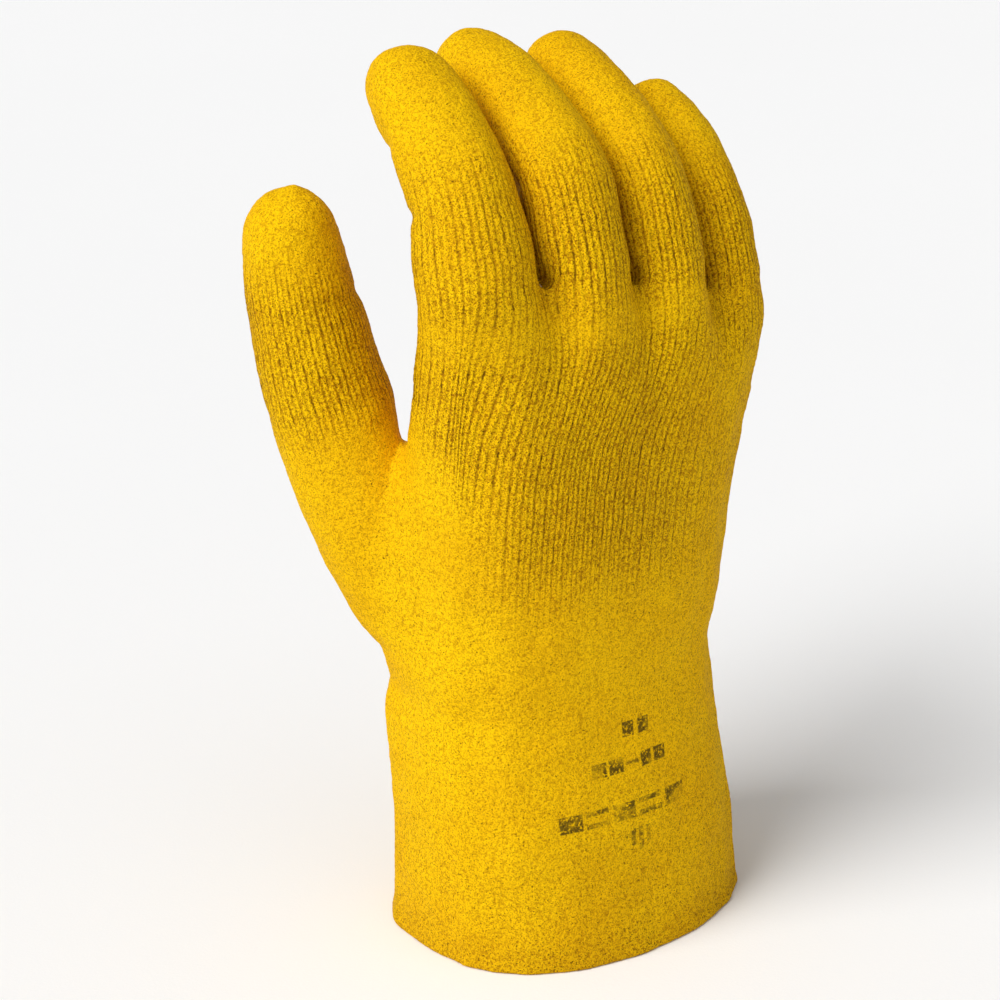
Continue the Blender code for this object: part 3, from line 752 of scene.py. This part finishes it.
    def even_ribs(self):
        """Spaces the lining's ribs evenly round the wrist, and lets them run into the fingers' ribs above it."""
        edge = self.open_edge()
        edge = edge[np.argsort(self.u[edge])]
        steps = np.linalg.norm(np.diff(self.points[edge], axis=0), axis=1)
        gone = np.concatenate([[0.0], np.cumsum(steps)])
        known = np.append(self.u[edge], AROUND)
        even = np.append(gone, gone[-1] + np.linalg.norm(self.points[edge[0]] - self.points[edge[-1]]))
        even *= AROUND / even[-1]
        on_trunk = self.labels == 0
        u = self.uvs[on_trunk][..., 0]
        share = rise(self.uvs[on_trunk][..., 1] / 1000, 0.190, 0.145)
        self.uvs[on_trunk, :, 0] = u + share * (np.interp(u, known, even) - u)

    def finish_hem(self, height, lip, outward, grime_and_shade):
        """Sets the hem's height and folds its edge over, ring by ring. outward is 1, or -1 where it faces in."""
        edge = self.open_edge()
        centre = self.points[edge].mean(0)
        angle = np.arctan2(self.points[edge, 1] - centre[1], self.points[edge, 0] - centre[0])
        edge = edge[np.argsort(angle)]
        self.points[edge, 2] = height
        across = np.roll(self.points[edge], -1, axis=0) - np.roll(self.points[edge], 1, axis=0)
        out = np.stack([across[:, 1], -across[:, 0], np.zeros(len(edge))], 1)
        out /= np.linalg.norm(out, axis=1, keepdims=True)
        u, ring, v = self.u[edge], edge, 0.0
        base, below = self.points[edge].copy(), height
        for inset, level in lip:
            points = base - out * inset
            points[:, 2] = level
            number = len(self.points) + np.arange(len(edge))
            self.points = np.vstack([self.points, points])
            next_v = v - 1000 * math.hypot(level - below, LIP_STEP)
            quads = np.stack([ring, np.roll(ring, -1), np.roll(number, -1), number], 1)
            next_u = np.roll(u, -1)
            next_u = u + (next_u - u + AROUND / 2) % AROUND - AROUND / 2
            corners = np.stack([u, next_u, next_u, u], 1)
            heights = np.stack([np.full(len(u), h) for h in (v, v, next_v, next_v)], 1)
            uvs = np.stack([corners, heights], 2)
            if outward > 0:
                quads, uvs = quads[:, ::-1], uvs[:, ::-1]
            self.quads = np.vstack([self.quads, quads])
            self.uvs = np.vstack([self.uvs, uvs])
            self.labels = np.concatenate([self.labels, np.zeros(len(quads), int)])
            self.mask = np.concatenate([self.mask, np.full(len(edge), 0.0 if outward > 0 else 1.0)])
            self.grime_and_shade = np.concatenate([self.grime_and_shade, np.full(len(edge), grime_and_shade)])
            ring, v, below = number, next_v, level
        self.normals = point_normals(self.points, self.quads)


def plain_mesh(name, points, quads, normals, uvs, attributes):
    """A piece's mesh from part of the whole skin: only the points its quads use, and their own smooth normals."""
    used = np.unique(quads)
    number = np.full(len(points), -1)
    number[used] = np.arange(len(used))
    mesh = bpy.data.meshes.new(name)
    mesh.vertices.add(len(used))
    mesh.vertices.foreach_set("co", points[used].astype(np.float32).ravel())
    mesh.loops.add(quads.size)
    mesh.loops.foreach_set("vertex_index", number[quads].astype(np.int32).ravel())
    mesh.polygons.add(len(quads))
    mesh.polygons.foreach_set("loop_start", np.arange(0, quads.size, 4, dtype=np.int32))
    mesh.polygons.foreach_set("use_smooth", np.ones(len(quads), bool))
    mesh.update(calc_edges=True)
    layer = mesh.uv_layers.new(name="knit")
    layer.data.foreach_set("uv", uvs.astype(np.float32).ravel())
    for key, values in attributes.items():
        kind, field = ("FLOAT_VECTOR", "vector") if values.ndim == 2 else ("FLOAT", "value")
        attribute = mesh.attributes.new(key, kind, "POINT")
        attribute.data.foreach_set(field, values[used].astype(np.float32).ravel())
    mesh.normals_split_custom_set_from_vertices(normals[used].tolist())
    return linked(name, mesh)


# ---- materials
class Shader:
    """The nodes of a material or a world, written as short expressions."""

    def __init__(self, owner):
        self.owner = owner
        owner.use_nodes = True
        self.tree = owner.node_tree
        self.surface = self.tree.nodes.get("Principled BSDF")

    def node(self, kind, inputs=(), output=0, **settings):
        made = self.tree.nodes.new(kind)
        for key, value in settings.items():
            setattr(made, key, value)
        for key, value in dict(inputs).items():
            self.put(made.inputs[key], value)
        return made.outputs[output]

    def put(self, socket, value):
        if isinstance(value, bpy.types.NodeSocket):
            self.tree.links.new(value, socket)
        else:
            socket.default_value = value

    def math(self, operation, a, b=0.0, clamp=False):
        return self.node("ShaderNodeMath", {0: a, 1: b}, operation=operation, use_clamp=clamp)

    def times(self, a, b, clamp=False):
        return self.math("MULTIPLY", a, b, clamp)

    def plus(self, a, b, clamp=False):
        return self.math("ADD", a, b, clamp)

    def split(self, vector):
        return self.node("ShaderNodeSeparateXYZ", {0: vector}).node.outputs

    def attribute(self, name, output="Fac"):
        return self.node("ShaderNodeAttribute", output=output, attribute_name=name)

    def noise(self, place, scale, detail=2.0, roughness=0.5):
        """Noise with about scale lumps to a metre."""
        return self.node(
            "ShaderNodeTexNoise", {"Vector": place, "Scale": scale, "Detail": detail, "Roughness": roughness}
        )

    def spread(self, value, low, high, to_low=0.0, to_high=1.0, kind="SMOOTHSTEP"):
        """value, spread smoothly from low..high to to_low..to_high, and held beyond."""
        return self.node(
            "ShaderNodeMapRange",
            {"Value": value, "From Min": low, "From Max": high, "To Min": to_low, "To Max": to_high},
            interpolation_type=kind,
        )

    def mix(self, factor, a, b):
        made = self.tree.nodes.new("ShaderNodeMix")
        made.data_type = "RGBA"
        self.put(made.inputs["Factor"], factor)
        self.put(made.inputs[6], a)
        self.put(made.inputs[7], b)
        return made.outputs[2]

    def bump(self, height, distance, strength=1.0, under=None):
        inputs = {"Height": height, "Distance": distance, "Strength": strength}
        if under is not None:
            inputs["Normal"] = under
        return self.node("ShaderNodeBump", inputs)

    def finish(self, base, roughness, specular, normal):
        """Gives the surface its colour, roughness, specular level and normal."""
        inputs = self.surface.inputs
        self.put(inputs["Base Color"], base)
        self.put(inputs["Roughness"], roughness)
        inputs["Specular IOR Level"].default_value = specular
        self.put(inputs["Normal"], normal)
        return self.owner


def coating_material():
    """Sprayed yellow crumb, with painted shade in the valleys between the knit's ribs and in the crumb's hollows."""
    s = Shader(bpy.data.materials.new("yellow_vinyl_coating"))
    place = s.attribute("rest", "Vector")
    u, v, _ = s.split(s.node("ShaderNodeUVMap", uv_map="knit"))
    ribs = s.attribute("ribs")
    grime_and_shade = s.attribute("grime_and_shade")
    # ribs wander a little from straight, and their edges are ragged
    wander = s.times(s.noise(place, 150.0, 2.0), 0.40)
    ragged = s.times(s.noise(place, 800.0, 2.0), 0.34)
    shifted = s.plus(u, s.plus(wander, ragged))
    wave = s.math("ABSOLUTE", s.math("SINE", s.times(shifted, math.pi)))
    every_other = s.math("COSINE", s.times(s.plus(u, wander), math.pi))
    deep = s.plus(0.62, s.times(every_other, 0.38))
    rib = s.spread(wave, 0.0, 1.0)
    valley = s.times(s.spread(wave, 0.05, 0.70, 1.0, 0.0), deep)
    # painted shade: dark flecks lie along the valleys
    along = s.node("ShaderNodeCombineXYZ", {0: s.times(u, 1.3), 1: s.times(v, 0.42), 2: 0.0})
    fleck = s.spread(s.noise(along, 1.0, 3.0, 0.65), 0.475, 0.575)
    patchy = s.spread(s.noise(place, 90.0, 3.0), 0.36, 0.60, 0.20, 1.0)
    dark = s.times(s.spread(wave, 0.10, 0.60, 1.0, 0.0), fleck)
    dark = s.times(s.times(dark, deep), s.times(ribs, patchy))
    # the sprayed crumb of the coating
    crumb = s.noise(place, 2000.0, 2.0, 0.6)
    lump = s.noise(place, 850.0, 2.0, 0.5)
    cluster = s.noise(place, 70.0, 3.0, 0.6)
    rough_places = s.plus(0.62, s.times(ribs, 0.38))
    rough_places = s.plus(rough_places, s.times(grime_and_shade, 0.30), clamp=True)
    between = s.times(s.spread(crumb, 0.36, 0.55, 1.0, 0.0), rough_places)
    hollow = s.times(s.spread(lump, 0.34, 0.50, 1.0, 0.0), rough_places)
    tone = s.spread(s.noise(place, 38.0, 3.0), 0.3, 0.7)
    base = s.mix(tone, BRIGHT_CRUMB_DEEP, BRIGHT_CRUMB)
    # painted shade: darker in the hollows of the lumps, between the crumb's grains and in the ribs' valleys
    base = s.mix(s.times(hollow, 0.50), base, SHADED_CRUMB)
    base = s.mix(s.times(between, 0.85), base, SHADED_CRUMB)
    base = s.mix(s.times(valley, s.times(ribs, 0.60)), base, SHADED_CRUMB)
    # painted shade: dark flecks in the valleys
    base = s.mix(s.times(dark, 0.94), base, FLECK_AND_SHADE)
    # grime and painted shade darken the crumb
    base = s.mix(s.times(grime_and_shade, 0.34), base, GRIME_AND_SHADE)
    level = s.plus(0.305, s.times(cluster, 0.05))
    level = s.plus(level, s.times(grime_and_shade, 0.060))
    speck = s.times(s.math("SUBTRACT", level, s.noise(place, 1900.0, 1.0, 0.4)), 14.0, clamp=True)
    base = s.mix(s.times(speck, 0.85), base, FLECK_AND_SHADE)
    base = s.mix(stamp(s, place), base, INK)
    under = s.bump(s.times(rib, ribs), 0.00040)
    under = s.bump(lump, 0.00050, 1.0, under)
    under = s.bump(crumb, 0.00030, 1.0, under)
    return s.finish(base, s.spread(crumb, 0.3, 0.7, 0.68, 0.86, "LINEAR"), 0.04, under)


def stamp(s, place):
    """Plain blocks and bars of worn ink. Returns how much ink is on each point."""
    x, y, z = s.split(place)
    x = s.times(s.math("SUBTRACT", x, float(HEM_CENTRE[0] + STAMP_MIDDLE[0])), 1000.0)
    z = s.times(s.math("SUBTRACT", z, float(STAMP_MIDDLE[2])), 1000.0)
    total = None
    for across, up, half_width, half_height in STAMP_BARS:
        a = s.math("ABSOLUTE", s.math("SUBTRACT", x, across))
        b = s.math("ABSOLUTE", s.math("SUBTRACT", z, up))
        outside = s.math("MAXIMUM", s.math("SUBTRACT", a, half_width), s.math("SUBTRACT", b, half_height))
        bar = s.spread(outside, -0.25, 0.15, 1.0, 0.0)
        total = bar if total is None else s.math("MAXIMUM", total, bar)
    front = s.spread(y, float(HEM_CENTRE[1]) - 0.006, float(HEM_CENTRE[1]) - 0.002, 1.0, 0.0)
    worn = s.spread(s.noise(place, 1100.0, 3.0, 0.6), 0.36, 0.50)
    rubbed = s.spread(s.noise(place, 130.0, 2.0), 0.34, 0.54, 0.25, 1.0)
    keep = s.times(s.times(worn, rubbed), 0.86)
    return s.times(s.times(total, front), keep)


def liner_material():
    """Off-white knit: ribs along the hand, rows of loops across them, fuzz, and a few spots of coating."""
    s = Shader(bpy.data.materials.new("cotton_knit_liner"))
    place = s.attribute("rest", "Vector")
    u, v, _ = s.split(s.node("ShaderNodeUVMap", uv_map="knit"))
    wander = s.times(s.noise(place, 160.0, 2.0), 0.4)
    wave = s.math("ABSOLUTE", s.math("SINE", s.times(s.plus(u, wander), math.pi)))
    lean = s.times(wave, 1.1)
    row = s.math("ABSOLUTE", s.math("SINE", s.plus(s.times(v, 2.1), lean)))
    loop = s.times(s.math("POWER", wave, 0.6), s.spread(row, 0.0, 0.6, 0.55, 1.0))
    fuzz = s.noise(place, 2400.0, 3.0, 0.7)
    tone = s.noise(place, 45.0, 3.0)
    base = s.mix(tone, (0.70, 0.61, 0.43, 1), (0.84, 0.77, 0.60, 1))
    # painted shade: darker between the loops and in the fuzz's low places
    base = s.mix(s.spread(loop, 0.2, 0.7, 0.75, 0.0), base, (0.30, 0.22, 0.11, 1))
    base = s.mix(s.spread(fuzz, 0.35, 0.65, 0.25, 0.0), base, (0.45, 0.36, 0.22, 1))
    stain = s.spread(s.noise(place, 120.0, 3.0), 0.56, 0.70, 0.0, 0.5)
    base = s.mix(stain, base, (0.78, 0.50, 0.06, 1))
    s.surface.inputs["Sheen Weight"].default_value = 0.25
    under = s.bump(fuzz, 0.00025, 1.0, s.bump(loop, 0.0005))
    return s.finish(base, s.spread(fuzz, 0.3, 0.7, 0.85, 0.98, "LINEAR"), 0.2, under)


def floor_material():
    s = Shader(bpy.data.materials.new("studio_paper"))
    place = s.node("ShaderNodeTexCoord", output="Object")
    grain = s.noise(place, 900.0, 3.0, 0.6)
    tone = s.noise(place, 3.0, 2.0)
    base = s.mix(tone, (0.93, 0.93, 0.93, 1), (0.95, 0.95, 0.95, 1))
    return s.finish(base, s.spread(grain, 0.3, 0.7, 0.85, 0.95, "LINEAR"), 0.1, s.bump(grain, 0.00005))


# ---- pieces
def sleeve_plan():
    """Each sleeve that lies across a joint: its two bodies, its label on the skin, its hinge and the way along it.
    """
    plan = []
    for i, finger in enumerate(FINGERS):
        bodies = ("hand", f"{finger}_base", f"{finger}_mid", f"{finger}_tip")
        bent = 0.0
        for part, (name, bend) in enumerate(zip(FINGER_JOINTS, FINGER_BENDS[finger])):
            along, _, _ = finger_frame(bent + bend / 2)
            bent += bend
            plan.append((bodies[part], bodies[part + 1], i + 1, hinge(f"{finger}_{name}"), along))
    base, tip = hinge("thumb_base_bend"), hinge("thumb_tip_bend")
    lean = (tip - base) / np.linalg.norm(tip - base)
    plan.append(("hand", "thumb_base", 5, base, lean))
    plan.append(("thumb_base", "thumb_tip", 5, tip, lean))
    return plan


def cut(skin, plan):
    """Which piece each quad belongs to: 0 the cuff, 1 the hand, and 2 onward the sleeves in the plan's order."""
    centres = skin.points[skin.quads].mean(1)
    piece = np.ones(len(centres), int)
    for number, (_, _, label, place, along) in enumerate(plan):
        on_label = skin.labels == label
        if number == 0 or plan[number - 1][2] != label:
            piece[on_label] = number + 2
            continue
        _, _, _, before, _ = plan[number - 1]
        way = (place - before) / np.linalg.norm(place - before)
        piece[on_label & ((centres - (before + place) / 2) @ way > 0)] = number + 2
    piece[centres[:, 2] < CUFF_TOP] = 0
    return piece


def make_pieces(skin, kind, node_kind, material):
    """Cuts the skin where bodies meet, fastens the hand's piece to the hand and hides the frame's matching parts."""
    plan = sleeve_plan()
    piece = cut(skin, plan)
    for number in range(len(plan) + 2):
        quads = skin.quads[piece == number]
        uvs = skin.uvs[piece == number]
        body = ("cuff", "hand")[number] if number < 2 else plan[number - 2][1]
        attributes = {"rest": skin.points, "ribs": skin.mask, "grime_and_shade": skin.grime_and_shade}
        o = plain_mesh(f"{body}_{kind}", skin.points, quads, skin.normals, uvs, attributes)
        o.data.materials.append(material)
        if number == 0:
            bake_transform(o)
        elif number == 1:
            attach(o, "hand")
        else:
            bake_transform(o)
        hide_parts(f"{body}_{node_kind}")


outer = Skin(SUBDIVISIONS, "outer_guide").shape()
make_pieces(outer, "coating", "shell", coating_material())
inner = Skin(SUBDIVISIONS - 1, "inner_guide").line()
make_pieces(inner, "lining", "liner", liner_material())

# ---- stage, light and camera
def studio_floor():
    steps = np.linspace(-FLOOR_HALF_WIDTH, FLOOR_HALF_WIDTH, FLOOR_CELLS + 1)
    row = FLOOR_CELLS + 1
    corners = [(x, y, FLOOR_LEVEL) for y in steps for x in steps]
    starts = [row * j + i for j in range(FLOOR_CELLS) for i in range(FLOOR_CELLS)]
    mesh = bpy.data.meshes.new("studio_floor")
    mesh.from_pydata(corners, [], [(k, k + 1, k + row + 1, k + row) for k in starts])
    mesh.materials.append(floor_material())
    linked("studio_floor", mesh)


def studio_world():
    """Soft light from all round, brighter in a band at the horizon."""
    s = Shader(bpy.data.worlds.new("studio"))
    height = s.node("ShaderNodeSeparateXYZ", {0: s.node("ShaderNodeTexCoord", output="Generated")}, "Z")
    background = s.tree.nodes["Background"]
    background.inputs["Color"].default_value = (1.0, 1.0, 1.0, 1.0)
    strength = s.spread(s.math("ABSOLUTE", height), *HORIZON_BAND, HORIZON_LIGHT, WORLD_LIGHT)
    s.put(background.inputs["Strength"], strength)
    bpy.context.scene.world = s.owner


def studio_lamp(name, azimuth, elevation, spread, strength):
    """A broad soft lamp, far off."""
    toward = facing(azimuth, elevation)
    data = bpy.data.lights.new(name, "SUN")
    data.angle = math.radians(spread)
    data.energy = strength
    lamp = linked(name, data)
    lamp.location = toward * LAMP_DISTANCE
    lamp.rotation_mode = "QUATERNION"
    lamp.rotation_quaternion = toward.to_track_quat("Z", "Y")


def studio_camera():
    toward = facing(CAMERA_AZIMUTH, CAMERA_ELEVATION)
    turn = math.radians(CAMERA_AZIMUTH)
    right = Vector((math.cos(turn), math.sin(turn), 0.0))
    up = toward.cross(right)
    look = (-toward * FOCAL_PIXELS - right * AIM_RIGHT - up * AIM_UP).normalized()
    side = look.cross(up).normalized()
    data = bpy.data.cameras.new("camera")
    data.sensor_width = SENSOR_WIDTH
    data.lens = SENSOR_WIDTH * FOCAL_PIXELS / PICTURE_WIDTH
    data.clip_start, data.clip_end = 0.05, 30.0
    camera = linked("camera", data)
    camera.location = Vector(HEM_CENTRE) + Vector((0, 0, AIM_HEIGHT)) + toward * CAMERA_DISTANCE
    camera.rotation_mode = "QUATERNION"
    camera.rotation_quaternion = Matrix((side, side.cross(look), -look)).transposed().to_quaternion()
    bpy.context.scene.camera = camera


studio_floor()
bpy.context.scene.view_settings.view_transform = "Standard"
bpy.context.scene.view_settings.look = "None"
studio_world()
for row in LAMPS:
    studio_lamp(*row)
studio_camera()
